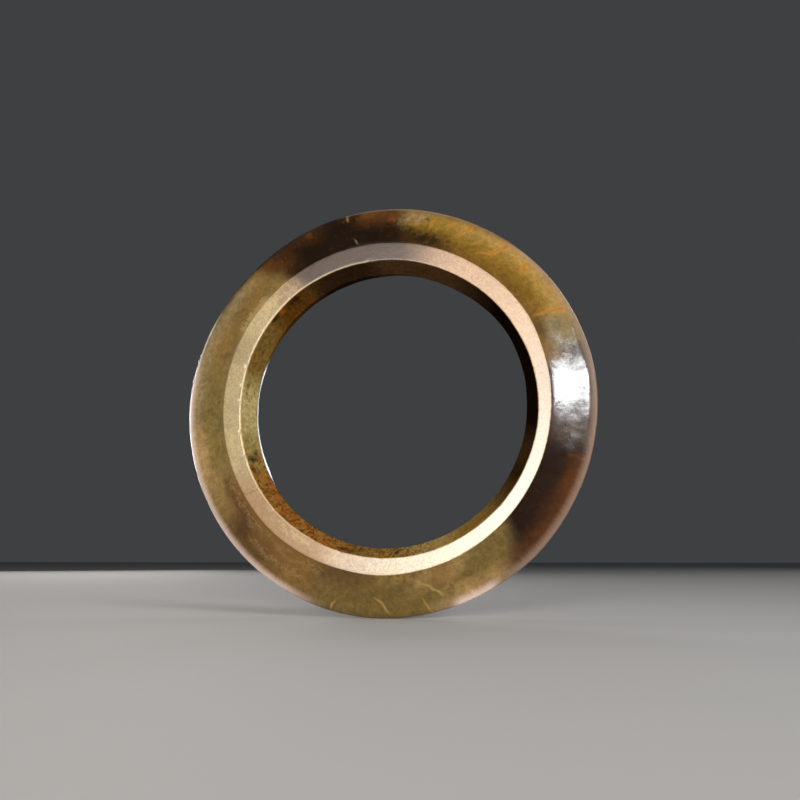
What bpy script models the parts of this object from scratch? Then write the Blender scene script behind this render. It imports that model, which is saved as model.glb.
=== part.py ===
# Jade annular ring: one carved stone, standing on its rim.
# Metres, +Z up. The origin is the centre of the rim's circle, halfway through the stone.
# The bore runs along Y, and the side that the photograph shows looks towards -Y.
# The stone was worked in three steps, each round a centre of its own: it was bored and faced,
# its slopes were ground down from the faces, and its rim was ground round. It is modelled the same way.

import math

import bpy

# The bore, cut from both sides until the two cuts met in a ridge
WAIST_RADIUS = 0.03175
FRONT_FLARE = 0.00225
BACK_FLARE = 0.0016
BORE_SHIFT_X = 0.0005
BORE_SHIFT_Z = -0.0005

# The narrow flat face round each mouth of the bore
THICKNESS = 0.0102
FRONT_FACE_WIDTH = 0.0037
BACK_FACE_WIDTH = 0.0042

# The slopes, a little hollow, most of all a third of the way down
SLOPE_SHIFT_X = 0.00015
SLOPE_SHIFT_Z = -0.0002
SLOPE_HOLLOW = 0.00045
HOLLOW_PLACE = 0.35

# The rim, with a narrow land and a facet on each side of it
RIM_RADIUS = 0.0475
RIM_LAND = 0.0020
RIM_FACET_WIDTH = 0.0026
RIM_FACET_RISE = 0.0013

# Worn edges: the arris at each mouth of the bore, and the band outside each flat face
ARRIS_RADIUS = 0.00035
BAND_WIDTH = 0.00035
BAND_DROP = 0.00025

# How finely the curves are cut into flats
STEPS_ROUND = 96
ARRIS_STEPS = 3
SLOPE_STEPS = 6

# How far each grinding form reaches past the stone, and how thin the slopes' form is at its edge
ROUGH_MARGIN = 0.003
ROUGH_EDGE = 0.001

# Points of a section that lie on the axis closer than this become one
MERGE_DISTANCE = 0.00001

STONE_COLOUR = (0.36, 0.31, 0.17, 1.0)
STONE_ROUGHNESS = 0.34


def start_empty():
    for thing in list(bpy.data.objects):
        bpy.data.objects.remove(thing, do_unlink=True)


def new_collection(name):
    collection = bpy.data.collections.new(name)
    bpy.context.scene.collection.children.link(collection)
    return collection


def stone_material():
    material = bpy.data.materials.new("jade")
    material.use_nodes = True
    shader = material.node_tree.nodes["Principled BSDF"]
    shader.inputs["Base Color"].default_value = STONE_COLOUR
    shader.inputs["Roughness"].default_value = STONE_ROUGHNESS
    shader.inputs["Metallic"].default_value = 0.0
    return material


def mirrored(front, back):
    """A whole section: the front's points, then the back's from the outside in, below the middle."""
    return front + [(radius, -height) for radius, height in reversed(back)]


def arris(mouth_radius, face_height, wall_lean):
    """Points of the rounded edge between the bore's wall and a flat face, wall first.

    The round is tangent to the leaning wall and to the face.
    """
    turn = math.pi / 2 - wall_lean
    centre_radius = mouth_radius + ARRIS_RADIUS * math.tan(turn / 2)
    centre_height = face_height - ARRIS_RADIUS
    points = []
    for step in range(ARRIS_STEPS + 1):
        angle = math.pi - wall_lean - turn * step / ARRIS_STEPS
        points.append((
            centre_radius + ARRIS_RADIUS * math.cos(angle),
            centre_height + ARRIS_RADIUS * math.sin(angle),
        ))
    return points


def bored_side(flare):
    """One side of the bored and faced stone, from the bore's wall to past the rim."""
    half = THICKNESS / 2
    wall_lean = math.atan2(flare, half)
    return arris(WAIST_RADIUS + flare, half, wall_lean) + [(RIM_RADIUS + 2 * ROUGH_MARGIN, half)]


def bored_section():
    return mirrored(bored_side(FRONT_FLARE), bored_side(BACK_FLARE)) + [(WAIST_RADIUS, 0.0)]


def slope(start, end):
    """Points from the band's foot down to the rim facet, sagging most near the face."""
    middle_radius = start[0] + (end[0] - start[0]) * HOLLOW_PLACE
    middle_height = start[1] + (end[1] - start[1]) * HOLLOW_PLACE - SLOPE_HOLLOW
    points = []
    for step in range(SLOPE_STEPS + 1):
        t = step / SLOPE_STEPS
        points.append((
            (1 - t) ** 2 * start[0] + 2 * t * (1 - t) * middle_radius + t ** 2 * end[0],
            (1 - t) ** 2 * start[1] + 2 * t * (1 - t) * middle_height + t ** 2 * end[1],
        ))
    return points


def sloped_side(face_radius):
    """One side of the form that leaves the band and the slope, from the axis outwards."""
    half = THICKNESS / 2
    band_slope = BAND_WIDTH / BAND_DROP
    above = (face_radius - ROUGH_MARGIN * band_slope, half + ROUGH_MARGIN)
    band_foot = (face_radius + BAND_WIDTH, half - BAND_DROP)
    facet_top = (RIM_RADIUS - RIM_FACET_WIDTH, RIM_LAND / 2 + RIM_FACET_RISE)
    rough_edge = (RIM_RADIUS + ROUGH_MARGIN, ROUGH_EDGE / 2)
    return [(0.0, above[1]), above] + slope(band_foot, facet_top) + [rough_edge]


def sloped_section():
    front = WAIST_RADIUS + FRONT_FLARE + FRONT_FACE_WIDTH
    back = WAIST_RADIUS + BACK_FLARE + BACK_FACE_WIDTH
    return mirrored(sloped_side(front), sloped_side(back))


def rim_section():
    """The section of the form that leaves the rim's land and its two facets."""
    half_land = RIM_LAND / 2
    top = THICKNESS / 2 + ROUGH_MARGIN
    inner = RIM_RADIUS - (top - half_land) * RIM_FACET_WIDTH / RIM_FACET_RISE
    side = [(0.0, top), (inner, top), (RIM_RADIUS, half_land)]
    return mirrored(side, side)


def turned(name, section, centre, closed, collection):
    """A solid turned about the bore's direction: radius is X, and height is towards -Y."""
    edges = [(at, at + 1) for at in range(len(section) - 1)]
    if closed:
        edges.append((len(section) - 1, 0))
    mesh = bpy.data.meshes.new(name)
    mesh.from_pydata([(radius, 0.0, height) for radius, height in section], edges, [])
    solid = bpy.data.objects.new(name, mesh)
    collection.objects.link(solid)
    solid.location = (centre[0], 0.0, centre[1])
    solid.rotation_euler = (math.pi / 2, 0.0, 0.0)
    screw = solid.modifiers.new("turn", "SCREW")
    screw.axis = "Z"
    screw.angle = 2 * math.pi
    screw.steps = STEPS_ROUND
    screw.render_steps = STEPS_ROUND
    screw.use_merge_vertices = True
    screw.merge_threshold = MERGE_DISTANCE
    screw.use_smooth_shade = True
    return solid


def grind(stone, form):
    """Leaves of the stone only what lies inside the form."""
    cut = stone.modifiers.new("grind to " + form.name, "BOOLEAN")
    cut.operation = "INTERSECT"
    cut.solver = "EXACT"
    cut.object = form
    form.hide_render = True
    form.display_type = "WIRE"


def build():
    start_empty()
    parts = new_collection("jade annular ring")
    guides = new_collection("grinding forms")
    bore_centre = (BORE_SHIFT_X, BORE_SHIFT_Z)
    slope_centre = (SLOPE_SHIFT_X, SLOPE_SHIFT_Z)
    stone = turned("jade_ring", bored_section(), bore_centre, True, parts)
    grind(stone, turned("slope_form", sloped_section(), slope_centre, False, guides))
    grind(stone, turned("rim_form", rim_section(), (0.0, 0.0), False, guides))
    stone.data.materials.append(stone_material())


build()
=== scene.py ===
# %% [markdown]
# # A jade annular ring
#
# One piece of nephrite, 95 mm across, stands on its thin rim. It was bored from both sides and ground by
# hand, so nothing on it is quite round, quite flat or of one colour.
#
# The imported model already holds its true size. This script puts a finely cut skin on that frame, then gives
# it the stone's clouds and veins, its waxy polish and the paler, duller band where it was ground flat, whose
# paleness is partly a painted sheen.

# %% Load the frame
import functools
import math

import bmesh
import bpy
from mathutils import Matrix, Vector, noise


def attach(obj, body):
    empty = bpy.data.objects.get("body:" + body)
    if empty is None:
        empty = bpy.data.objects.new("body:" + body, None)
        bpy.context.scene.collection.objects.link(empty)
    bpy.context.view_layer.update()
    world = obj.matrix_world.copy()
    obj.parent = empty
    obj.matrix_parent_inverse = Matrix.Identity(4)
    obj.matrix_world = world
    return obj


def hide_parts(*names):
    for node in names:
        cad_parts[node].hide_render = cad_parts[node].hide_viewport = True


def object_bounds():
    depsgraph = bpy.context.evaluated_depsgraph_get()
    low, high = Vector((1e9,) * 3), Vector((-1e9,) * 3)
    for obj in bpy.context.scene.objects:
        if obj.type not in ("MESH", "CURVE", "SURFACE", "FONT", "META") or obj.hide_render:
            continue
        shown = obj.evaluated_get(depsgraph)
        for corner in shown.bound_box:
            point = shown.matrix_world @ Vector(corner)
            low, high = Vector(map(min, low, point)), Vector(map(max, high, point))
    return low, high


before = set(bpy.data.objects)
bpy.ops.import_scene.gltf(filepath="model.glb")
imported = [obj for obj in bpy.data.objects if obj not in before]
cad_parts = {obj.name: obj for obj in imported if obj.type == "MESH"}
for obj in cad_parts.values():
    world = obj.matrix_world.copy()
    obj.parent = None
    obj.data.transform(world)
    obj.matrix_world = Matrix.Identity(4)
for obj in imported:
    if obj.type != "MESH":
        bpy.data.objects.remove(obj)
cad_low, cad_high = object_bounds()
MM = 0.001
RIM_RADIUS = (cad_high.x - cad_low.x) / 2
HALF_THICKNESS = (cad_high.y - cad_low.y) / 2
FLOOR_HEIGHT = cad_low.z
print("the frame's nodes:", len(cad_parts))
print(f"rim radius {RIM_RADIUS / MM:.1f} mm, half thickness {HALF_THICKNESS / MM:.2f} mm")

# %% [markdown]
# ## The camera
#
# The photograph is taken from close by, low down and a little to the right. The bore then shows its left
# wall, and the rim's circle turns into an ellipse. A longer lens further away would flatten that, so the
# distance matters more than the angle of view.

# %% Place the camera
CAMERA_DISTANCE = 4.184 * RIM_RADIUS
CAMERA_AZIMUTH = math.radians(11.55)
CAMERA_ELEVATION = math.radians(-9.92)
CAMERA_YAW = math.radians(10.59)
CAMERA_PITCH = math.radians(10.32)
CAMERA_LENS = 38.84
NEAREST_SEEN = 5 * MM


def add_camera():
    data = bpy.data.cameras.new("camera")
    data.lens = CAMERA_LENS
    data.clip_start = NEAREST_SEEN
    camera = bpy.data.objects.new("camera", data)
    bpy.context.scene.collection.objects.link(camera)
    level = math.cos(CAMERA_ELEVATION)
    camera.location = CAMERA_DISTANCE * Vector((
        math.sin(CAMERA_AZIMUTH) * level,
        -math.cos(CAMERA_AZIMUTH) * level,
        math.sin(CAMERA_ELEVATION),
    ))
    camera.rotation_euler = (math.pi / 2 + CAMERA_PITCH, 0.0, CAMERA_YAW)
    bpy.context.scene.camera = camera
    return camera


camera = add_camera()
print("camera at", [round(value, 4) for value in camera.location])

# %% [markdown]
# ## Floor and light
#
# A polished stone shows its light as much as its colour. Each slope of the ring mirrors another part of the
# room, so each lamp is placed by its direction from the ring, where one surface and no other throws it back
# to the camera. A soft lamp in front serves the flat face, a small one to the right makes the glare on the
# right slope, and a tall strip on each side draws the thin rim. The lamps above and behind keep the rim
# apart from the dark backdrop and light the ring's back, and the faintest one, low behind, gives the bore
# its thin bright edge at the left. None of the lamps shows in the picture itself.

# %% Add the floor and the surroundings
FLOOR_SIZE = 4.0
FLOOR_COLOUR = (0.46, 0.45, 0.44, 1.0)
FLOOR_ROUGHNESS = 0.9
FLOOR_SPECULAR = 0.1
WORLD_COLOUR = (0.62, 0.64, 0.68, 1.0)
WORLD_STRENGTH = 0.08


def add_floor():
    mesh = bpy.data.meshes.new("floor")
    work = bmesh.new()
    bmesh.ops.create_grid(work, x_segments=1, y_segments=1, size=FLOOR_SIZE / 2)
    bmesh.ops.translate(work, verts=work.verts, vec=(0.0, 0.0, FLOOR_HEIGHT))
    work.to_mesh(mesh)
    work.free()
    floor = bpy.data.objects.new("floor", mesh)
    bpy.context.scene.collection.objects.link(floor)
    material = bpy.data.materials.new("pale floor")
    material.use_nodes = True
    shader = material.node_tree.nodes["Principled BSDF"]
    shader.inputs["Base Color"].default_value = FLOOR_COLOUR
    shader.inputs["Roughness"].default_value = FLOOR_ROUGHNESS
    shader.inputs["Specular IOR Level"].default_value = FLOOR_SPECULAR
    mesh.materials.append(material)
    return floor


def add_world():
    world = bpy.data.worlds.new("studio")
    world.use_nodes = True
    background = world.node_tree.nodes["Background"]
    background.inputs["Color"].default_value = WORLD_COLOUR
    background.inputs["Strength"].default_value = WORLD_STRENGTH
    bpy.context.scene.world = world
    return world


print(add_floor().name, "and", add_world().name)

# %% Add the lamps
NO_GRID = 180
# azimuth and elevation in degrees, distance, width and height in metres, watts, colour, spread in degrees
LAMPS = {
    "front": (-1, 4, 0.50, 0.16, 0.16, 0.48, (1.0, 0.95, 0.87), 70),
    "right glare": (44, 13.4, 0.50, 0.20, 0.09, 0.30, (0.95, 0.98, 1.0), 70),
    "above": (0, 102, 0.55, 0.40, 0.30, 0.25, (1.0, 0.97, 0.93), NO_GRID),
    "back right": (128, 30, 0.80, 0.50, 0.40, 1.0, (0.96, 0.97, 1.0), NO_GRID),
    "back left": (216, 7, 0.80, 0.30, 0.22, 0.55, (1.0, 0.97, 0.93), 80),
    "left strip": (-96, 9, 0.50, 0.08, 0.40, 0.45, (1.0, 0.95, 0.96), NO_GRID),
    "right strip": (74, 6, 0.50, 0.06, 0.40, 0.35, (1.0, 0.96, 0.94), NO_GRID),
    "behind": (190, 11, 0.60, 0.10, 0.09, 0.014, (0.84, 0.90, 1.0), 70),
}


def add_softbox(name, azimuth, elevation, distance, width, height, watts, colour, spread):
    """A flat light that faces the ring. Azimuth 0 is in front, 90 to the right.

    A small spread is a grid over the lamp: its light goes to the ring and less of it to the floor beneath.
    """
    data = bpy.data.lights.new(name, "AREA")
    data.shape = "RECTANGLE"
    data.size = width
    data.size_y = height
    data.energy = watts
    data.color = colour
    data.spread = math.radians(spread)
    light = bpy.data.objects.new(name, data)
    bpy.context.scene.collection.objects.link(light)
    turn = math.radians(azimuth)
    rise = math.radians(elevation)
    level = math.cos(rise)
    away = Vector((math.sin(turn) * level, -math.cos(turn) * level, math.sin(rise)))
    light.location = away * distance
    light.rotation_euler = away.to_track_quat("Z", "Y").to_euler()
    light.visible_camera = False


for name, settings in LAMPS.items():
    add_softbox(name, *settings)
bpy.context.scene.view_settings.view_transform = "Standard"
print(len(LAMPS), "lamps")

# %% [markdown]
# ## The section
#
# Cut through, the ring shows a wedge: thick at the bore, with a narrow flat on each side, then a slope down
# to a thin rim. The bore narrows to a ridge in the middle, where the two borings met. The wedge is drawn as
# a wire with one corner for each edge of the stone, its sides are cut finely enough to be worked on later,
# and each corner is rounded as far as that edge is worn. The sizes are those that the frame was built from.

# %% Sizes of the section
WAIST_RADIUS = 31.75 * MM
MOUTH_RADIUS = {"front": WAIST_RADIUS + 2.25 * MM, "back": WAIST_RADIUS + 1.6 * MM}
FACE_WIDTH = {"front": 3.7 * MM, "back": 4.2 * MM}
BAND_WIDTH = 0.35 * MM
BAND_DROP = 0.25 * MM
HALF_LAND = 1.0 * MM
RIDGE_WEAR = 0.20 * MM
MOUTH_WEAR = 0.28 * MM
FACE_EDGE_WEAR = 0.10 * MM
RIM_WEAR = 0.34 * MM


def face_edge(side):
    return MOUTH_RADIUS[side] + FACE_WIDTH[side]


def section_corners():
    """The wedge's corners, round from the ridge in the bore: radius, height towards the viewer and wear."""
    front = face_edge("front")
    back = face_edge("back")
    return [
        (WAIST_RADIUS, 0.0, RIDGE_WEAR),
        (MOUTH_RADIUS["front"], HALF_THICKNESS, MOUTH_WEAR),
        (front, HALF_THICKNESS, FACE_EDGE_WEAR),
        (front + BAND_WIDTH, HALF_THICKNESS - BAND_DROP, 0.0),
        (RIM_RADIUS, HALF_LAND, RIM_WEAR),
        (RIM_RADIUS, -HALF_LAND, RIM_WEAR),
        (back + BAND_WIDTH, BAND_DROP - HALF_THICKNESS, 0.0),
        (back, -HALF_THICKNESS, FACE_EDGE_WEAR),
        (MOUTH_RADIUS["back"], -HALF_THICKNESS, MOUTH_WEAR),
    ]


print(len(section_corners()), "corners")

# %% Draw the wedge and spin it into a ring
ROW_WIDTH = 0.36 * MM
WEAR_SEGMENTS = 3
STEPS_ROUND = 720
DOUBLINGS = 3
SAME_PLACE = 0.001 * MM


def wedge_wire():
    work = bmesh.new()
    corners = section_corners()
    made = [work.verts.new((radius, -height, 0.0)) for radius, height, _ in corners]
    sides = [work.edges.new((made[at], made[(at + 1) % len(made)])) for at in range(len(made))]
    for side in sides:
        cuts = round(side.calc_length() / ROW_WIDTH) - 1
        if cuts > 0:
            bmesh.ops.subdivide_edges(work, edges=[side], cuts=cuts)
    for radius, height, wear in corners:
        if wear:
            place = Vector((radius, -height, 0.0))
            corner = min(work.verts, key=lambda vert: (vert.co - place).length)
            bmesh.ops.bevel(
                work, geom=[corner], offset=wear, offset_type="OFFSET",
                segments=WEAR_SEGMENTS, profile=0.5, affect="VERTICES", material=-1,
            )
    return work


def spun(work):
    """An eighth of the ring by a spin, doubled three times.

    A full spin of so fine a wire takes half a minute.
    """
    shares = 2 ** DOUBLINGS
    turn = 2 * math.pi / shares
    bmesh.ops.spin(
        work, geom=work.verts[:] + work.edges[:], cent=(0, 0, 0), axis=(0, 1, 0),
        angle=turn, steps=STEPS_ROUND // shares,
    )
    for _ in range(DOUBLINGS):
        copy = bmesh.ops.duplicate(work, geom=work.verts[:] + work.edges[:] + work.faces[:])
        moved = [thing for thing in copy["geom"] if isinstance(thing, bmesh.types.BMVert)]
        bmesh.ops.rotate(work, verts=moved, cent=(0, 0, 0), matrix=Matrix.Rotation(turn, 3, "Y"))
        turn *= 2
    bmesh.ops.remove_doubles(work, verts=work.verts, dist=SAME_PLACE)
    bmesh.ops.recalc_face_normals(work, faces=work.faces)


ring_mesh = wedge_wire()
rows = len(ring_mesh.verts)
spun(ring_mesh)
print(rows, "rows,", len(ring_mesh.faces), "faces")

# %% [markdown]
# ## The surface's own coordinate
#
# The polish and the colours change at the edges of the stone, whose places wander once it is worked by
# hand. So each point keeps, as an attribute, how far across the section it lies: the depth in the bore, and
# then the distance outwards from the mouth. It is counted in millimetres, and it is negative on the back.

# %% Mark how far across the section each point lies
FACE_STARTS = HALF_THICKNESS / MM
SLOPE_STARTS = FACE_STARTS + FACE_WIDTH["front"] / MM
RIM_STARTS = FACE_STARTS + (RIM_RADIUS - MOUTH_RADIUS["front"]) / MM


def mark_across(work):
    across = work.verts.layers.float.new("across")
    for vert in work.verts:
        side = "front" if vert.co.y < 0 else "back"
        outwards = max(0.0, math.hypot(vert.co.x, vert.co.z) - MOUTH_RADIUS[side])
        depth = abs(vert.co.y) if outwards == 0.0 else HALF_THICKNESS
        vert[across] = math.copysign((depth + outwards) / MM, -vert.co.y)


mark_across(ring_mesh)
print(f"face from {FACE_STARTS:.1f}, slope from {SLOPE_STARTS:.1f}, rim at {RIM_STARTS:.1f} mm across")

# %% [markdown]
# ## The hand of the maker
#
# The bore, the slopes and the rim were each ground round a centre of their own, up to 0.7 mm apart, and
# each edge wanders by a few tenths of a millimetre. The back mouth comes furthest inwards, at the lower
# left, where the bore's back half peeps out behind the front half. The lines below say how far out an edge
# lies at an angle, counted anticlockwise from the right, in millimetres. Between two of its places a line
# runs on smoothly. Moving the points by these rules keeps every row unbroken, where cutting the mesh would
# leave slivers.

# %% Where each edge runs
BORE_CENTRE = Vector((0.5 * MM, 0.0, -0.5 * MM))
SLOPE_CENTRE = Vector((0.15 * MM, 0.0, -0.2 * MM))
RIM_CENTRE = Vector((0.0, 0.0, 0.0))
EDGE_LINES = {
    "rim": [(8, 0.19), (30, 0.0), (55, -0.12), (97, 0.14), (135, -0.23), (158, -0.03), (180, 0.18),
            (208, 0.02), (240, -0.07), (257, 0.04), (300, -0.14), (315, -0.03), (331, -0.13), (346, -0.02)],
    "face": [(0, -0.30), (14, -0.18), (31, 0.25), (60, 0.08), (90, 0.10), (150, -0.13), (195, -0.11),
             (232, 0.14), (254, 0.0), (270, 0.21), (286, 0.10), (315, -0.07), (332, -0.19)],
    "mouth": [(352, 0.36), (14, 0.09), (32, -0.19), (60, -0.33), (90, -0.20), (107, 0.0), (127, 0.14),
              (150, -0.05), (179, -0.30), (196, -0.08), (214, 0.06), (255, -0.20), (300, 0.09), (330, 0.29)],
    "back mouth": [(165, 0.0), (180, -0.25), (190, -0.4), (203, -0.65), (216, -0.2), (240, 0.0)],
    "waist": [(0, -0.13), (15, 0.14), (31, 0.37), (60, -0.12), (90, 0.22), (105, 0.43), (135, 0.10),
              (158, -0.12), (180, -0.28), (196, -0.14), (225, 0.25), (242, 0.16), (300, -0.12)],
    "facet": [(354, 2.0), (0, 1.95), (7, 1.7), (15, 2.2), (27, 1.2), (60, 0.8), (100, 0.7),
              (180, 1.1), (230, 1.1), (270, 0.8), (300, 1.2), (338, 1.2)],
}


@functools.lru_cache(maxsize=None)
def line_at(name, degrees):
    """How far out, in metres, a line lies at an angle. The facet's line is the facet's width."""
    places = EDGE_LINES[name]
    after = min(places, key=lambda place: (place[0] - degrees) % 360)
    before = min(places, key=lambda place: (degrees - place[0]) % 360)
    gap = (after[0] - before[0]) % 360
    share = ((degrees - before[0]) % 360) / gap if gap else 0.0
    return (before[1] + (after[1] - before[1]) * share * share * (3 - 2 * share)) * MM


for name in EDGE_LINES:
    print(f"{name} at the right: {line_at(name, 0.0) / MM:.2f} mm")

# %% [markdown]
# ## The slope and the facet of the rim
#
# The slope is a little hollow, most of all near the flat face, and the rim's facet cuts it off. A wide facet
# was ground last and has a crisp crease, and a narrow one is only wear. So the height is the lower one of
# the two, with the crease between them rounded as far as the facet's width asks.

# %% The slope's height
SLOPE_HOLLOW = 0.45 * MM
# how steeply the hollow sets in at the face, and how much of that is gone at the foot
HOLLOW_START = 2.86
HOLLOW_FALL = 1.32
FACET_WIDTH = 2.6 * MM
FACET_RISE = 1.3 * MM
SLOPE_FOOT_RADIUS = RIM_RADIUS - FACET_WIDTH
SLOPE_FOOT_HEIGHT = HALF_LAND + FACET_RISE
SOFT_CREASE = 0.35 * MM
CRISP_CREASE = 0.10 * MM
# a facet up to this wide has the soft crease, and one that is wider by the second value the crisp one
WORN_FACET = 1.2 * MM
CRISP_WITHIN = 0.5 * MM


def slope_height(side, radius):
    """The slope's height over the middle plane: straight, less a hollow that is deepest near the face."""
    top_radius = face_edge(side) + BAND_WIDTH
    top_height = HALF_THICKNESS - BAND_DROP
    along = (radius - top_radius) / (SLOPE_FOOT_RADIUS - top_radius)
    hollow = SLOPE_HOLLOW * along * (1 - along) * (HOLLOW_START - HOLLOW_FALL * along)
    return top_height + (SLOPE_FOOT_HEIGHT - top_height) * along - hollow


def ground_height(side, radius, facet):
    """The slope, or the rim's facet where that lies lower. A wide facet has a crisp crease."""
    crease_height = slope_height(side, RIM_RADIUS - facet)
    on_facet = HALF_LAND + (crease_height - HALF_LAND) * (RIM_RADIUS - radius) / facet
    on_slope = slope_height(side, radius)
    crisp = min(1.0, max(0.0, (facet - WORN_FACET) / CRISP_WITHIN))
    crease = SOFT_CREASE + (CRISP_CREASE - SOFT_CREASE) * crisp
    near = max(0.0, crease - abs(on_slope - on_facet)) / crease
    return min(on_slope, on_facet) - near * near * crease / 4


def wedge_height(side, radius):
    """The height of the spun wedge's straight side, from the band's foot to the rim."""
    top_radius = face_edge(side) + BAND_WIDTH
    top_height = HALF_THICKNESS - BAND_DROP
    return top_height + (HALF_LAND - top_height) * (radius - top_radius) / (RIM_RADIUS - top_radius)


print(f"the facet starts {SLOPE_FOOT_HEIGHT / MM:.1f} mm over the middle plane where it is widest")

# %% Chips and waves
CHIP_REACH = 0.7 * MM
# angle, half width in degrees and depth in millimetres
MOUTH_CHIPS = [(189.0, 1.1, 0.16), (176.5, 0.9, 0.10), (170.5, 1.2, 0.12), (163.0, 1.4, 0.14),
               (158.5, 0.9, 0.08), (198.5, 1.2, 0.10), (147.0, 0.9, 0.07), (254.0, 1.2, 0.08),
               (269.0, 1.2, 0.08), (131.0, 0.9, 0.06), (96.0, 1.0, 0.06), (318.0, 1.0, 0.06),
               (12.0, 1.0, 0.06), (223.0, 0.9, 0.07)]
RIM_NICKS = [(133.5, 0.9, 0.16), (112.0, 0.7, 0.12), (61.0, 0.6, 0.10), (37.0, 0.5, 0.10),
             (207.0, 0.5, 0.10), (224.0, 0.4, 0.12), (241.5, 0.4, 0.12), (302.0, 0.8, 0.12),
             (352.0, 0.6, 0.10), (166.0, 0.6, 0.10)]
WALL_WAVE = 3 * MM
WALL_WAVE_HEIGHT = 0.05 * MM
WALL_SEED = 5.0
SLOPE_SWELL = 7 * MM
SWELL_SEED = 9.0
SLOPE_RIPPLE = 2.5 * MM
RIPPLE_SEED = 2.0
RIPPLE_SHARE = 0.4
SLOPE_WAVE_HEIGHT = 0.07 * MM


@functools.lru_cache(maxsize=None)
def broken_away(kind, degrees):
    """How deep, in metres, the edge is chipped at an angle."""
    total = 0.0
    for place, half_width, depth in (MOUTH_CHIPS if kind == "mouth" else RIM_NICKS):
        off = ((degrees - place + 180) % 360 - 180) / half_width
        total += depth * max(0.0, 1 - off * off)
    return total * MM


def waves(around, radius, height, size, seed):
    """Smooth unevenness from -1 to 1, in swells of about this size."""
    return noise.noise(Vector((around.x * radius / size, around.z * radius / size + seed, height / size)))


print(len(MOUTH_CHIPS), "chips at the mouth and", len(RIM_NICKS), "nicks in the rim")


# %% Move the points to where the maker left them
def worked_wall(side, radius, height, degrees, around):
    depth = min(1.0, abs(height) / HALF_THICKNESS)
    mouth = "mouth" if side == "front" else "back mouth"
    out = line_at("waist", degrees) * (1 - depth) + line_at(mouth, degrees) * depth
    out += WALL_WAVE_HEIGHT * waves(around, radius, height, WALL_WAVE, WALL_SEED)
    return BORE_CENTRE, radius + out, height


def worked_face(side, radius, height, degrees, around):
    share = (radius - MOUTH_RADIUS[side]) / FACE_WIDTH[side]
    out = line_at("back mouth", degrees) * (1 - share)
    if side == "front":
        out = line_at("mouth", degrees) * (1 - share) + line_at("face", degrees) * share
    return BORE_CENTRE.lerp(SLOPE_CENTRE, share), radius + out, height


def worked_slope(side, radius, height, degrees, around):
    share = (radius - face_edge(side)) / (RIM_RADIUS - face_edge(side))
    out = line_at("rim", degrees) * share
    if side == "front":
        out += line_at("face", degrees) * (1 - share)
    sign = math.copysign(1.0, height)
    if abs(height) > HALF_LAND and radius > face_edge(side) + BAND_WIDTH:
        swell = waves(around, radius, height, SLOPE_SWELL, SWELL_SEED)
        uneven = swell + RIPPLE_SHARE * waves(around, radius, height, SLOPE_RIPPLE, RIPPLE_SEED)
        rise = ground_height(side, radius, line_at("facet", degrees)) - wedge_height(side, radius)
        height += sign * (rise + SLOPE_WAVE_HEIGHT * uneven * math.sin(math.pi * share))
    return SLOPE_CENTRE.lerp(RIM_CENTRE, share), radius + out, height


def chipped(side, radius, height, degrees):
    """Points near the mouth's edge and the rim, drawn back where a chip is gone.

    A nick in the rim lowers its side by half of what it takes off the radius.
    """
    sign = math.copysign(1.0, height)
    if side == "front":
        gap = math.hypot(radius - MOUTH_RADIUS[side], abs(height) - HALF_THICKNESS)
        bite = broken_away("mouth", degrees) * max(0.0, 1 - gap / CHIP_REACH)
        radius += bite
        height -= sign * bite
    gap = math.hypot(RIM_RADIUS - radius, abs(height) - HALF_LAND)
    bite = broken_away("rim", degrees) * max(0.0, 1 - gap / CHIP_REACH)
    return radius - bite, height - sign * bite / 2


def hand_worked(co):
    """The finished place of a point of the spun ring."""
    angle = math.atan2(co.z, co.x)
    degrees = round(math.degrees(angle), 3)
    around = Vector((math.cos(angle), 0.0, math.sin(angle)))
    radius, height = math.hypot(co.x, co.z), -co.y
    side = "front" if height > 0 else "back"
    if radius > face_edge(side):
        work = worked_slope
    elif radius > MOUTH_RADIUS[side]:
        work = worked_face
    else:
        work = worked_wall
    centre, new_radius, new_height = work(side, radius, height, degrees, around)
    shift = new_radius - radius, new_height - height
    radius, height = chipped(side, radius, height, degrees)
    return centre + around * (radius + shift[0]) + Vector((0.0, -height - shift[1], 0.0))


for vert in ring_mesh.verts:
    vert.co = hand_worked(vert.co)
ring_mesh.normal_update()
print(len(ring_mesh.verts), "points moved")


# %% Make the ring's object
def finished(name, work):
    mesh = bpy.data.meshes.new(name)
    work.to_mesh(mesh)
    work.free()
    mesh.shade_smooth()
    made = bpy.data.objects.new(name, mesh)
    bpy.context.scene.collection.objects.link(made)
    return made


ring = finished("carved_ring", ring_mesh)
print(ring.name, "has", sum(len(face.vertices) - 2 for face in ring.data.polygons), "triangles")

# %% [markdown]
# ## A kit for the stone
#
# Jade is a felt of fine fibres, stained along its cracks and clouded where iron or weather reached it. An
# image would tie those clouds to one view, so they are made by nodes from the point's place in the stone,
# and they run right through it. A cloud is a mask: a sector of the ring with a soft, ragged edge, and a
# vein is a thin, stretched spot. Each mask lets one colour into the next.

# %% Start the material and its short-hands
stone = bpy.data.materials.new("jade")
stone.use_nodes = True
tree = stone.node_tree
shader = tree.nodes["Principled BSDF"]


def put(kind, feeds, **settings):
    """A node with its settings, and its inputs by name or number: a value, or another node's output."""
    made = tree.nodes.new("ShaderNode" + kind)
    for name, value in settings.items():
        setattr(made, name, value)
    for name, value in feeds.items():
        if isinstance(value, bpy.types.NodeSocket):
            tree.links.new(value, made.inputs[name])
        else:
            made.inputs[name].default_value = value
    return made


def calc(operation, *values):
    return put("Math", dict(enumerate(values)), operation=operation).outputs[0]


def calc_places(operation, *places):
    return put("VectorMath", dict(enumerate(places)), operation=operation).outputs[0]


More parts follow.
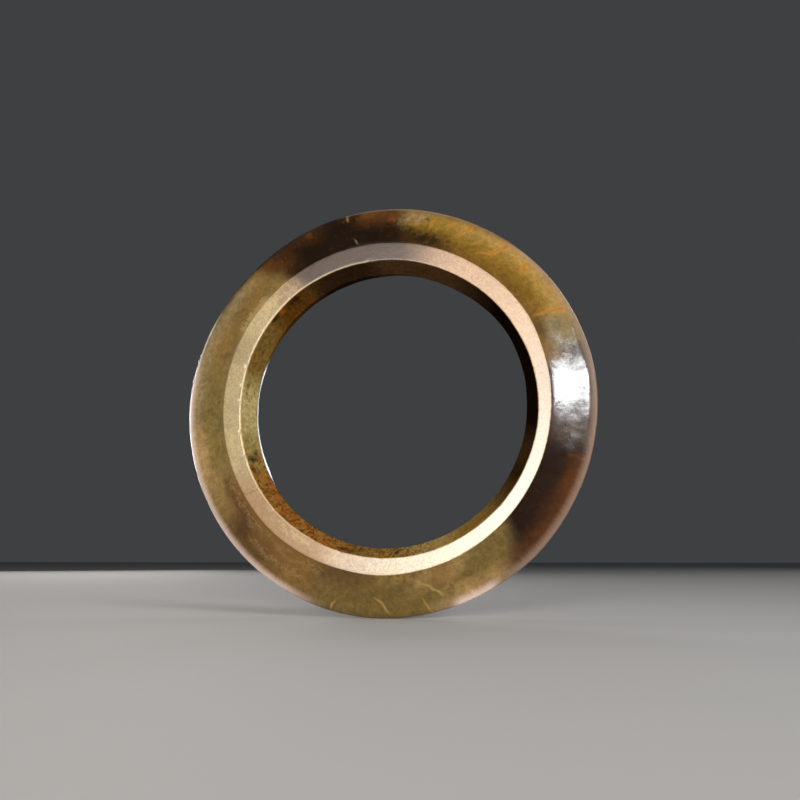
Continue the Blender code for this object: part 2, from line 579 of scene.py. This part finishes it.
def fade(value, start, end, low=0.0, high=1.0):
    """A smooth ramp from low at start to high at end."""
    feeds = {"Value": value, "From Min": start, "From Max": end, "To Min": low, "To Max": high}
    return put("MapRange", feeds, interpolation_type="SMOOTHSTEP").outputs[0]


def blend(under, over, mask):
    """A number: the first one where the mask is 0, and the second where it is 1."""
    return put("Mix", {0: mask, 2: under, 3: over}).outputs[0]


def both(*masks):
    """Where every mask holds."""
    result = masks[0]
    for mask in masks[1:]:
        result = calc("MULTIPLY", result, mask)
    return result


print(shader.name, "is ready")


# %% Short-hands for colours
def paint(red, green, blue):
    """A screen colour, 0 to 255, as the linear colour that the shader wants."""
    linear = []
    for value in (red, green, blue):
        share = value / 255
        linear.append(share / 12.92 if share < 0.04045 else ((share + 0.055) / 1.055) ** 2.4)
    return (*linear, 1.0)


def tint(under, over, mask, kind="MIX"):
    return put("Mix", {0: mask, 6: under, 7: over}, data_type="RGBA", blend_type=kind).outputs[2]


def glazed(under, over, mask, strength):
    """A colour laid over another where the mask holds, and thinned by a strength or a second mask."""
    return tint(under, over, calc("MULTIPLY", mask, strength))


def shaded(under, mask, low, high):
    """A colour times low where the mask is 0 and times high where it is 1, so that it keeps its hue."""
    darkest = tint(under, (low, low, low, 1.0), 1.0, "MULTIPLY")
    rise = high / low
    return tint(darkest, (rise, rise, rise, 1.0), mask, "MULTIPLY")


print("middle grey becomes", [round(value, 3) for value in paint(128, 128, 128)])


# %% Noise, and a point's place in the stone
def cloud(size, detail=3.0, place=None, roughness=0.55):
    """Soft noise from 0 to 1, in clouds of about this many millimetres."""
    feeds = {"Vector": place or place_mm, "Scale": 1 / size, "Detail": detail, "Roughness": roughness}
    return put("TexNoise", feeds)


def shifted(value, ruffle, reach):
    """A value moved by noise, by up to half the reach either way."""
    return calc("ADD", value, calc("MULTIPLY", calc("SUBTRACT", ruffle, 0.5), reach))


RAGGED = 4.0
NOISE_MIDDLE = (0.5, 0.5, 0.5)
object_place = put("TexCoord", {}).outputs["Object"]
place_mm = put("VectorMath", {0: object_place, "Scale": 1 / MM}, operation="SCALE").outputs[0]
drift = calc_places("SUBTRACT", cloud(7.0, 6.0, roughness=0.68).outputs["Color"], NOISE_MIDDLE)
ragged = calc_places("MULTIPLY_ADD", drift, (RAGGED, RAGGED, RAGGED), place_mm)
parts = put("SeparateXYZ", {0: ragged})
degrees_round = calc("DEGREES", calc("ARCTAN2", parts.outputs["Z"], parts.outputs["X"]))
side_across = put("Attribute", {}, attribute_name="across").outputs["Fac"]
across = calc("ABSOLUTE", side_across)
ragged_across = calc("ADD", across, calc("MULTIPLY", put("SeparateXYZ", {0: drift}).outputs["Y"], RAGGED))
print(len(tree.nodes), "nodes for the place")

# %% Sectors and rows
MIDDLE_ACROSS = 13.5


def sector(start, end, soft, lean=0.0):
    """A mask from one angle to another, anticlockwise.

    It leans by so many degrees for each millimetre outwards.
    """
    half = ((end - start) % 360) / 2
    turned = calc("SUBTRACT", degrees_round, start + half)
    if lean:
        outwards = calc("SUBTRACT", across, MIDDLE_ACROSS)
        turned = calc("SUBTRACT", turned, calc("MULTIPLY", outwards, lean))
    off = calc("ABSOLUTE", calc("WRAP", turned, 180.0, -180.0))
    return fade(off, half + soft / 2, half - soft / 2)


def rows_between(low, high, soft, value=None):
    """A mask between two distances across the section."""
    value = value or ragged_across
    past_low = fade(value, low - soft / 2, low + soft / 2)
    before_high = fade(value, high + soft / 2, high - soft / 2)
    return calc("MULTIPLY", past_low, before_high)


def drawn_out(round_rate, across_rate):
    """A place for noise that is drawn out round the ring or across it, for hairs and cracks."""
    feeds = {"X": calc("MULTIPLY", degrees_round, round_rate), "Y": calc("MULTIPLY", across, across_rate)}
    return put("CombineXYZ", feeds).outputs[0]


print("a leaning sector turns about row", MIDDLE_ACROSS)

# %% Spots
# in millimetres, but for the edge, which is a share of the spot
FINELY_RAGGED = 1.4
THROUGH_THE_STONE = 1000.0
STAIN_RADIUS = WAIST_RADIUS / MM + 1
STAIN_REACH = 4.0
SPOT_EDGE = 0.95


def spot(place, turned, half_sizes, edge):
    """A spot at a place in the stone. Its half sizes, in millimetres, take in its soft edge."""
    feeds = {"Vector": fine_ragged, "Location": place, "Rotation": turned, "Scale": half_sizes}
    nearby = put("Mapping", feeds, vector_type="TEXTURE").outputs[0]
    closeness = put("TexGradient", {"Vector": nearby}, gradient_type="SPHERICAL").outputs["Fac"]
    return fade(closeness, 0.0, 2 * edge / (1 + edge))


def slope_spot(angle, row, length, width, lean=0.0, edge=SPOT_EDGE):
    """A spot that runs through the whole stone: half its length outwards, and half its width.

    It leans from the radius by so many degrees.
    """
    radius = row - FACE_STARTS + MOUTH_RADIUS["front"] / MM
    turn = math.radians(angle)
    place = (radius * math.cos(turn), 0.0, radius * math.sin(turn))
    reach = 1 + edge
    half_sizes = (length * reach, THROUGH_THE_STONE, width * reach)
    return spot(place, (0.0, -turn - math.radians(lean), 0.0), half_sizes, edge)


def bore_spot(angle, depth, along, round_):
    """A spot on the bore's wall, at a depth from the middle towards the viewer."""
    turn = math.radians(angle)
    place = (STAIN_RADIUS * math.cos(turn), -depth, STAIN_RADIUS * math.sin(turn))
    reach = 1 + SPOT_EDGE
    return spot(place, (0.0, -turn, 0.0), (STAIN_REACH, along * reach, round_ * reach), SPOT_EDGE)


fine_drift = calc_places("SUBTRACT", cloud(2.4, 4.0).outputs["Color"], NOISE_MIDDLE)
fine_reach = (FINELY_RAGGED, FINELY_RAGGED, FINELY_RAGGED)
fine_ragged = calc_places("MULTIPLY_ADD", fine_drift, fine_reach, place_mm)
print(len(tree.nodes), "nodes in the kit")

# %% [markdown]
# ## The stone's colours
#
# Going round from the left: khaki celadon, then a dark grey-brown cloud with a rusty edge, then clear
# yellow-green with russet veins, a grey part, a dark brown one that turns orange at the rim, and olive with
# paler feathers along the bottom. Towards its thin rim the stone is paler, partly in its own colour and
# partly as a painted glow of the light that gets through the thin stone and catches its edge.

# %% Clouds of colour on the slopes
# The pale clouds by the rim are partly the stone and partly a painted glow of light through the thin edge.
# The olive by the face is partly the stone and partly painted shade, where the thick stone lets less light
# through.
# start and end angle, softness in degrees, lean, from and to row across, softness in mm, colour, strength
SLOPE_CLOUDS = {
    "khaki, upper left": (132, 166, 14, 0, 0, 30, 2, paint(116, 92, 49), 1.0),
    "deep celadon, left": (168, 192, 24, 0, 0, 16.5, 5, paint(108, 92, 50), 0.8),
    "pale tan by the rim, left": (186, 204, 12, 0, 14.5, 20, 3, paint(160, 130, 86), 0.9),
    "tan, lower left": (212, 254, 18, 0, 0, 30, 2, paint(104, 77, 33), 1.0),
    "sugary brown, lower left": (215, 234, 12, 0, 9.4, 16.5, 4, paint(70, 43, 8), 0.9),
    "brown by the face, lower left": (204, 222, 8, 0, 9.4, 12.4, 3, paint(76, 48, 12), 0.9),
    "olive, bottom": (250, 313, 8, 0, 0, 30, 2, paint(98, 78, 33), 1.0),
    "brown strip by the face, bottom": (248, 266, 10, 0, 0, 12.5, 4, paint(84, 58, 24), 0.8),
    "pale olive by the rim, bottom": (284, 298, 8, 0, 16.5, 30, 2, paint(140, 116, 78), 0.8),
    "pale wedge, bottom right": (277, 293, 6, -1.5, 0, 12.5, 4, paint(128, 103, 60), 0.8),
    "pale olive by the rim, bottom right": (290, 309, 8, 0, 14.5, 30, 3, paint(134, 106, 62), 0.8),
    "dark brown, lower right": (311.5, 352, 9, -0.6, 0, 30, 2, paint(28, 12, 2), 1.0),
    "orange brown by the rim": (307, 343, 9, 0, 14.6, 30, 5.5, paint(70, 38, 11), 1.0),
    "grey, right": (347, 19, 7, 0, 0, 30, 2, paint(62, 47, 36), 1.0),
    "yellow green, upper right": (18, 84, 6, 0, 0, 30, 2, paint(124, 96, 30), 1.0),
    "olive, painted shade by the face": (12, 86, 10, 0, 0, 12.4, 5, paint(104, 76, 27), 1.0),
    "grey green, right": (16, 27, 5, 0, 11, 30, 4, paint(104, 92, 62), 0.8),
    "clear gold by the rim": (24, 70, 16, 0, 14.6, 30, 5, paint(146, 116, 62), 0.85),
    "dark cloud, top left": (83.5, 129, 7, 0.6, 0, 30, 2, paint(24, 13, 3), 1.0),
    "its foot by the face": (72, 92, 12, 1.2, 0, 13.0, 5, paint(36, 20, 5), 0.8),
    "rust at its left edge": (122, 132, 9, 0.4, 11, 30, 7, paint(76, 45, 16), 0.7),
    "rust by its rim": (109, 125, 8, 0, 15.0, 30, 5, paint(58, 33, 12), 0.7),
    "rust by its rim, right": (84, 98, 6, 0, 15.0, 30, 5, paint(84, 52, 20), 0.85),
    "mist by the rim, upper left": (137, 186, 16, 0, 15.0, 30, 5, paint(152, 138, 112), 0.35),
}
EVERY_ROW = (0, 30)
CELADON = paint(126, 104, 58)

body = CELADON
for start, end, soft, lean, inner, outer, soft_rows, over, strength in SLOPE_CLOUDS.values():
    mask = sector(start, end, soft, lean)
    if (inner, outer) != EVERY_ROW:
        mask = both(mask, rows_between(inner, outer, soft_rows))
    body = glazed(body, over, mask, strength)
print(len(SLOPE_CLOUDS), "clouds,", len(tree.nodes), "nodes")

# %% Mottling and felt
swirl = cloud(4.5, 5.0, ragged).outputs["Fac"]
felt = cloud(1.1, 6.0, roughness=0.72).outputs["Fac"]
grain = cloud(0.40, 3.0).outputs["Fac"]
body = shaded(body, fade(swirl, 0.28, 0.72), 0.69, 0.93)
body = shaded(body, fade(felt, 0.34, 0.66), 0.78, 1.20)
print(len(tree.nodes), "nodes with the felt")

# %% Flakes and flames by the face
FEATHER = paint(150, 120, 70)
FLAKE = paint(104, 73, 30)
CREAM = paint(198, 172, 124)
# start and end angle, row across where the flakes end, strength
FLAKES = [(206, 249, 10.9, 0.8), (224, 246, 14.2, 0.5), (268, 287, 10.0, 0.5), (286, 292, 14.6, 0.5)]
FLAKE_RAGGED = 9.0
FLAME_RAGGED = -7.0
hairs = cloud(0.5, 2.0, drawn_out(2.2, 0.08)).outputs["Fac"]
flaking_across = shifted(across, cloud(2.2, 6.0, roughness=0.7).outputs["Fac"], FLAKE_RAGGED)
for start, end, row, strength in FLAKES:
    here = calc("MULTIPLY", sector(start, end, 7), strength)
    edge = calc("ABSOLUTE", calc("SUBTRACT", flaking_across, row))
    body = tint(body, FLAKE, both(here, fade(flaking_across, row + 0.1, row - 1.8)))
    body = glazed(body, FEATHER, both(here, fade(edge, 1.3, 0.1), fade(felt, 0.38, 0.60)), 0.6)
flame_across = shifted(flaking_across, hairs, FLAME_RAGGED)
body = glazed(body, CREAM, both(sector(136, 152, 5), fade(flame_across, 10.8, 9.4)), 0.3)
print(len(FLAKES), "flaking parts")

# %% Freckles
SOOT = paint(20, 10, 4)
RUST = paint(96, 56, 18)
freckle = cloud(0.8, 4.0, roughness=0.7).outputs["Fac"]
dark_freckles = both(fade(freckle, 0.50, 0.62), sector(64, 94, 10), rows_between(8, 13.4, 4))
body = glazed(body, SOOT, dark_freckles, 0.55)
body = glazed(body, RUST, both(fade(freckle, 0.57, 0.66), sector(84, 129, 8)), 0.28)
brown_freckles = both(fade(freckle, 0.56, 0.66), sector(20, 66, 14), rows_between(8, 15.0, 6))
body = glazed(body, RUST, brown_freckles, 0.4)
print(len(tree.nodes), "nodes with the freckles")

# %% Veins, feathers and spots
# angle, row across, half length and half width in mm, lean from the radius
RUSSET_VEINS = [(64.6, 15.4, 1.7, 0.16, -28), (63.6, 16.8, 0.8, 0.30, -10), (55.0, 13.0, 1.7, 0.12, -50),
                (52.4, 15.3, 1.5, 0.22, -30), (51.6, 16.8, 0.7, 0.36, -10), (43.6, 16.0, 1.5, 0.20, 8),
                (42.6, 15.2, 0.5, 0.34, 0), (26.8, 15.9, 1.5, 0.26, -12), (27.7, 13.2, 1.9, 0.12, -10),
                (75.0, 15.0, 1.0, 0.16, -10), (59.2, 14.2, 0.9, 0.09, -35), (79.0, 16.0, 1.2, 0.14, -20),
                (48.0, 17.2, 0.8, 0.10, 10), (33.5, 16.4, 1.0, 0.08, -10), (69.0, 15.8, 0.8, 0.08, -20)]
FEATHERS = [(284.6, 13.2, 2.6, 0.26, 50), (286.6, 14.8, 0.9, 0.22, 30), (282.4, 17.0, 1.7, 0.24, 22),
            (270.4, 16.0, 1.8, 0.26, 34), (268.6, 14.6, 0.8, 0.20, 60), (255.4, 17.2, 1.0, 0.20, -18),
            (295.0, 16.8, 1.2, 0.22, 35), (101.4, 17.4, 0.8, 0.25, 10)]
# angle, row across, half size outwards and half size round in mm, strength
SOOT_SPOTS = [(77.0, 16.0, 0.45, 0.40, 0.8), (81.5, 12.4, 0.9, 0.7, 0.5), (76.5, 10.6, 1.0, 1.1, 0.6),
              (72.5, 10.6, 0.9, 0.8, 0.5), (178.2, 10.2, 0.25, 0.5, 0.5), (209.2, 17.0, 0.3, 0.25, 0.5),
              (183.6, 14.0, 0.15, 0.5, 0.4), (338.0, 13.0, 1.3, 1.2, 0.6), (351.0, 12.0, 1.6, 0.5, 0.6),
              (101.4, 13.6, 1.9, 0.22, 0.7), (119.6, 15.0, 0.5, 0.4, 0.6), (23.0, 10.0, 0.9, 2.0, 0.5),
              (102.0, 17.6, 0.9, 0.25, 0.6), (91.5, 11.2, 1.2, 0.5, 0.4), (109.0, 16.6, 0.7, 0.5, 0.5)]
RUST_SPOTS = [(114.0, 17.0, 1.0, 0.8, 0.6), (101.5, 17.4, 0.7, 0.9, 0.5), (95.5, 17.0, 0.7, 1.8, 0.5),
              (87.0, 15.4, 0.8, 1.2, 0.8), (79.6, 16.4, 1.4, 0.4, 0.7), (74.8, 17.6, 0.5, 0.5, 0.6),
              (128.6, 16.6, 1.4, 1.0, 0.4), (343.0, 15.8, 1.6, 0.5, 0.4),
              (241.5, 17.6, 0.9, 0.06, 0.6), (224.0, 17.4, 1.0, 0.06, 0.6), (217.5, 17.8, 0.8, 0.06, 0.6),
              (214.0, 17.9, 0.8, 0.06, 0.6), (207.6, 16.2, 0.9, 0.05, 0.5), (197.0, 18.0, 0.6, 0.06, 0.5)]
RUSSET = paint(140, 82, 20)
VEIN_GLOW = paint(150, 114, 54)
PALE_CLOUD = paint(122, 108, 88)
patchy = fade(felt, 0.36, 0.56, 0.35, 1.0)
for angle, row, length, width, lean in RUSSET_VEINS:
    body = glazed(body, VEIN_GLOW, slope_spot(angle, row, length * 1.2, width * 2.6, lean), 0.6)
for angle, row, length, width, lean in RUSSET_VEINS:
    body = glazed(body, RUSSET, slope_spot(angle, row, length, width * 1.25, lean, 0.9), patchy)
for angle, row, length, width, lean in FEATHERS:
    body = glazed(body, FEATHER, slope_spot(angle, row, length, width, lean), 0.6)
for angle, row, outwards, round_, strength in RUST_SPOTS:
    body = glazed(body, RUST, both(slope_spot(angle, row, outwards, round_), patchy), strength)
for angle, row, outwards, round_, strength in SOOT_SPOTS:
    body = glazed(body, SOOT, slope_spot(angle, row, outwards, round_), strength)
pale = both(sector(79.5, 87, 4, -1.2), rows_between(14.4, 18.2, 2), fade(felt, 0.36, 0.64))
body = glazed(body, PALE_CLOUD, pale, 0.8)
body = glazed(body, CREAM, slope_spot(99.4, 10.2, 0.7, 0.20, 28), 0.2)
print(len(tree.nodes), "nodes with the veins")

# %% The paler rim, partly painted glow
RIM_LIT_LILAC = paint(206, 184, 172)
RIM_BROWN = paint(130, 108, 94)
RIM_RUST = paint(92, 66, 40)
RIM_DARK = paint(34, 25, 15)
# colour, start and end angle, softness, strength
RIM_TONES_AND_GLOW = [(RIM_LIT_LILAC, 168, 246, 16, 0.85), (RIM_LIT_LILAC, 289, 302, 4, 0.8), (RIM_BROWN, 302, 54, 16, 0.7),
             (RIM_RUST, 52, 84, 12, 0.8), (RIM_DARK, 112, 152, 14, 0.75)]
# how far inside the rim its tint begins, and how far inside it is full, in mm
TINT_BEGINS = 2.3
TINT_FULL = 0.1
# The rim's tint is partly the stone's own paler edge and partly painted light. It is a painted glow of light
# through the thin rim, lilac-white at the left and lower right, with painted shade in its dark part at the
# upper left.
at_rim = fade(shifted(across, hairs, 1.0), RIM_STARTS - TINT_BEGINS, RIM_STARTS - TINT_FULL)
for tone, start, end, soft, strength in RIM_TONES_AND_GLOW:
    body = glazed(body, tone, both(at_rim, sector(start, end, soft)), strength)
print(len(tree.nodes), "nodes with the rim")

# %% [markdown]
# ## Bore and flat face
#
# The bore was never polished, and dirt and iron settled in it, with rust along its cracks. It is darker for
# that, and darkest on the right, where the colour is partly painted shade. The flat face was rubbed on a slab
# and left matt, so it looks as if a thin veil of cream lay over the stone's own colour, and at the lower
# right that veil is paler still, as a painted sheen.

# %% Clouds of colour in the bore
OLIVE_WALL = paint(92, 72, 34)
# The black on the right is partly the stone's dirt and partly painted shade.
# start and end angle, softness in degrees, colour
BORE_CLOUDS = {
    "green, left": (163, 206, 8, paint(116, 100, 56)),
    "pale green, left": (171, 191, 10, paint(140, 124, 82)),
    "olive, upper left": (140, 165, 12, OLIVE_WALL),
    "rusty olive, above it": (122, 142, 12, paint(66, 42, 12)),
    "dark, top": (46, 124, 16, paint(39, 25, 13)),
    "orange brown, upper right": (44, 93, 14, paint(66, 45, 26)),
    "black, right, partly painted shade": (338, 52, 30, paint(14, 7, 3)),
    "dark brown, lower right": (322, 342, 26, paint(34, 19, 7)),
    "olive tan, bottom": (262, 314, 14, paint(112, 86, 40)),
    "pale olive, bottom": (279, 297, 10, paint(134, 110, 62)),
    "orange tan, lower left": (207, 256, 5, paint(116, 80, 34)),
}
wall = OLIVE_WALL
for start, end, soft, over in BORE_CLOUDS.values():
    wall = tint(wall, over, sector(start, end, soft))
wall_felt = cloud(0.9, 5.0, roughness=0.7).outputs["Fac"]
wall = shaded(wall, fade(wall_felt, 0.34, 0.66), 0.70, 1.27)
print(len(BORE_CLOUDS), "clouds in the bore")

# %% Stains and cracks in the bore
# angle, depth from the middle, half size along the bore and half size round in mm, strength
RUST_STAINS = [(226.4, 3.0, 1.6, 0.7, 0.9), (230.4, 1.6, 0.8, 1.2, 0.9), (247.0, 3.0, 1.2, 0.5, 0.8),
               (238.5, 1.2, 0.6, 1.3, 0.8), (233.0, 3.8, 0.7, 1.3, 0.7), (221.0, 1.0, 0.5, 1.8, 0.8),
               (215.5, 1.4, 0.6, 1.2, 0.6), (243.0, 4.2, 0.6, 0.8, 0.8), (136.8, 4.1, 0.6, 0.9, 0.9),
               (202.0, 1.4, 0.5, 1.2, 0.9), (204.4, 3.8, 0.5, 0.9, 0.7), (308.0, 3.4, 0.8, 1.4, 0.5)]
DARK_STAINS = [(201.6, 3.3, 1.2, 0.8, 0.9), (206.2, 3.9, 0.5, 0.7, 0.8), (199.0, 2.0, 0.8, 0.7, 0.8),
               (275.4, 2.6, 1.0, 0.5, 0.8), (276.4, 1.4, 0.5, 0.5, 0.6), (254.6, 3.7, 0.8, 1.2, 0.8),
               (256.4, 0.9, 0.4, 0.9, 0.8), (140.4, 4.4, 0.5, 1.2, 0.8), (130.0, 4.0, 1.0, 1.6, 0.8),
               (174.0, 3.7, 0.25, 0.9, 0.6), (170.6, 3.5, 0.4, 0.7, 0.6), (176.0, 2.6, 0.2, 0.4, 0.5),
               (155.6, 2.3, 0.2, 0.9, 0.7), (228.4, 4.4, 0.4, 0.7, 0.6), (237.5, 4.3, 0.4, 0.5, 0.7),
               (165.0, 4.3, 0.2, 0.8, 0.5), (214.5, 4.4, 0.3, 0.9, 0.5), (262.0, 2.0, 0.7, 0.7, 0.4)]
BRIGHT_RUST = paint(118, 62, 16)
DEEP_RUST = paint(66, 24, 4)
for angle, depth, along, round_, strength in RUST_STAINS:
    wall = glazed(wall, BRIGHT_RUST, bore_spot(angle, depth, along, round_), strength)
for angle, depth, along, round_, strength in DARK_STAINS:
    wall = glazed(wall, SOOT, bore_spot(angle, depth, along, round_), strength)
crack_noise = cloud(1.6, 5.0, drawn_out(0.5, 0.3), 0.62).outputs["Fac"]
cracks = fade(calc("ABSOLUTE", calc("SUBTRACT", crack_noise, 0.5)), 0.035, 0.004)
wall = glazed(wall, DEEP_RUST, both(cracks, sector(200, 290, 10)), 0.8)
wall = glazed(wall, BRIGHT_RUST, both(cracks, sector(120, 165, 14)), 0.3)
wall = glazed(wall, SOOT, both(fade(freckle, 0.60, 0.66), sector(124, 290, 10)), 0.65)
print(len(tree.nodes), "nodes with the bore")

# %% Colours on the flat face
VEIL = paint(212, 170, 136)
PALE_SHEEN_VEIL = paint(222, 210, 180)
MAUVE_VEIL = paint(78, 53, 40)
GREEN_VEIL = paint(174, 155, 110)
TAN_VEIL = paint(146, 108, 54)
VEIL_STRENGTH = 0.42
# start and end angle, and what the face's colour is multiplied by there
STEPS_IN_TONE = [(198, 212, 0.90), (163, 198, 0.98), (126, 163, 0.82)]
# start and end angle, from and to row across, strength
FACE_PATCHES = [(227, 243, 5.7, 7.4, 0.24), (249, 258, 5.9, 7.8, 0.2), (124, 150, 5.8, 9.2, 0.18)]
# The veil's tint changes round the face, palest at the lower right and darkest at the top. This is partly the
# stone beneath and partly a painted sheen of the front lamp, which is strongest at the lower right.
veil = tint(VEIL, PALE_SHEEN_VEIL, sector(262, 338, 44))
veil = tint(veil, GREEN_VEIL, sector(134, 211, 8))
veil = tint(veil, TAN_VEIL, sector(208, 250, 16))
veil = tint(veil, MAUVE_VEIL, sector(74, 129, 20))
face = tint(body, veil, VEIL_STRENGTH)
face = shaded(face, fade(grain, 0.34, 0.62), 0.82, 1.11)
face = shaded(face, fade(felt, 0.34, 0.66), 0.94, 1.06)
for start, end, factor in STEPS_IN_TONE:
    face = tint(face, (factor, factor, factor, 1.0), sector(start, end, 0.4), "MULTIPLY")
for start, end, inner, outer, strength in FACE_PATCHES:
    mask = both(sector(start, end, 5), rows_between(inner, outer, 0.8), fade(felt, 0.40, 0.62))
    face = glazed(face, CREAM, mask, strength)
print(len(tree.nodes), "nodes with the flat face")

# %% One colour for the whole stone
ON_EDGE = 0.12
WORN_AND_GLINTING_EDGE = 0.3
is_slope = fade(across, SLOPE_STARTS - ON_EDGE, SLOPE_STARTS + ON_EDGE)
is_wall = fade(across, FACE_STARTS + ON_EDGE, FACE_STARTS - ON_EDGE)
colour = tint(face, body, is_slope)
colour = tint(colour, wall, is_wall)
# A cream line along the mouth's edge from 95° to 245°: partly wear and partly a painted highlight where the
# edge catches the light.
off_mouth = calc("ABSOLUTE", calc("SUBTRACT", across, FACE_STARTS))
colour = glazed(colour, CREAM, both(fade(off_mouth, WORN_AND_GLINTING_EDGE, 0.0), sector(95, 245, 10)), 0.5)
fissure = both(sector(210.0, 210.5, 0.3, -0.45), rows_between(2.0, SLOPE_STARTS, 0.4, across))
colour = glazed(colour, SOOT, fissure, 0.35)
tree.links.new(colour, shader.inputs["Base Color"])
print(len(tree.nodes), "nodes for the colour")

# %% [markdown]
# ## Polish
#
# The slopes are polished to a waxy shine, but for a weathered part at the lower right that is duller. The
# flat face is dull, and the bore is dry and has no sheen. Only the left of its back half is smooth enough to
# catch the lamp behind. A little light enters the stone and comes out nearby, which is what makes jade look
# deep.

# %% How rough the stone is
SLOPE_ROUGHNESS = 0.17
SLOPE_DULLER_BY = 0.09
FACE_ROUGHNESS = 0.36
WALL_ROUGHNESS = 0.6
SHINY_WALL_ROUGHNESS = 0.20
RIDGE_WIDTH = 0.3
duller = fade(cloud(2.4, 4.0).outputs["Fac"], 0.4, 0.8, 0.0, SLOPE_DULLER_BY)
slope_roughness = calc("ADD", SLOPE_ROUGHNESS, duller)
roughness = blend(FACE_ROUGHNESS, slope_roughness, is_slope)
is_shiny = both(is_wall, fade(side_across, RIDGE_WIDTH, -RIDGE_WIDTH), sector(160, 211, 7))
wall_roughness = blend(WALL_ROUGHNESS, SHINY_WALL_ROUGHNESS, is_shiny)
roughness = blend(roughness, wall_roughness, is_wall)
tree.links.new(roughness, shader.inputs["Roughness"])
print(len(tree.nodes), "nodes with the roughness")

# %% How much it mirrors, its depth and its fine unevenness
POLISHED_SPECULAR = 0.5
WEATHERED_SPECULAR = 0.18
DRY_SPECULAR = 0.0
STONE_IOR = 1.61
DEPTH_WEIGHT = 0.18
DEPTH_BY_COLOUR = (1.0, 0.8, 0.45)
LIGHT_DEPTH = 1.2 * MM
GRAIN_SHARE = 0.25
BUMP_STRENGTH = 0.35
BUMP_HEIGHT = 0.1 * MM
is_dry = calc("SUBTRACT", is_wall, is_shiny)
is_weathered = both(is_slope, sector(312, 343, 12))
specular = blend(POLISHED_SPECULAR, WEATHERED_SPECULAR, is_weathered)
specular = blend(specular, DRY_SPECULAR, is_dry)
tree.links.new(specular, shader.inputs["Specular IOR Level"])
shader.inputs["IOR"].default_value = STONE_IOR
shader.inputs["Subsurface Weight"].default_value = DEPTH_WEIGHT
shader.inputs["Subsurface Radius"].default_value = DEPTH_BY_COLOUR
shader.inputs["Subsurface Scale"].default_value = LIGHT_DEPTH
fine = calc("ADD", calc("MULTIPLY", grain, GRAIN_SHARE), cloud(1.5, 3.0).outputs["Fac"])
bump = put("Bump", {"Height": fine, "Strength": BUMP_STRENGTH, "Distance": BUMP_HEIGHT})
tree.links.new(bump.outputs["Normal"], shader.inputs["Normal"])
ring.data.materials.append(stone)
print(len(tree.nodes), "nodes in all")

# %% Fix the ring to its frame
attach(ring, "root")
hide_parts("jade_ring")
print(ring.name, "rides on the root")

# %% Print the frame's size and finish
print("cad", [round(value / MM, 2) for value in cad_high - cad_low])
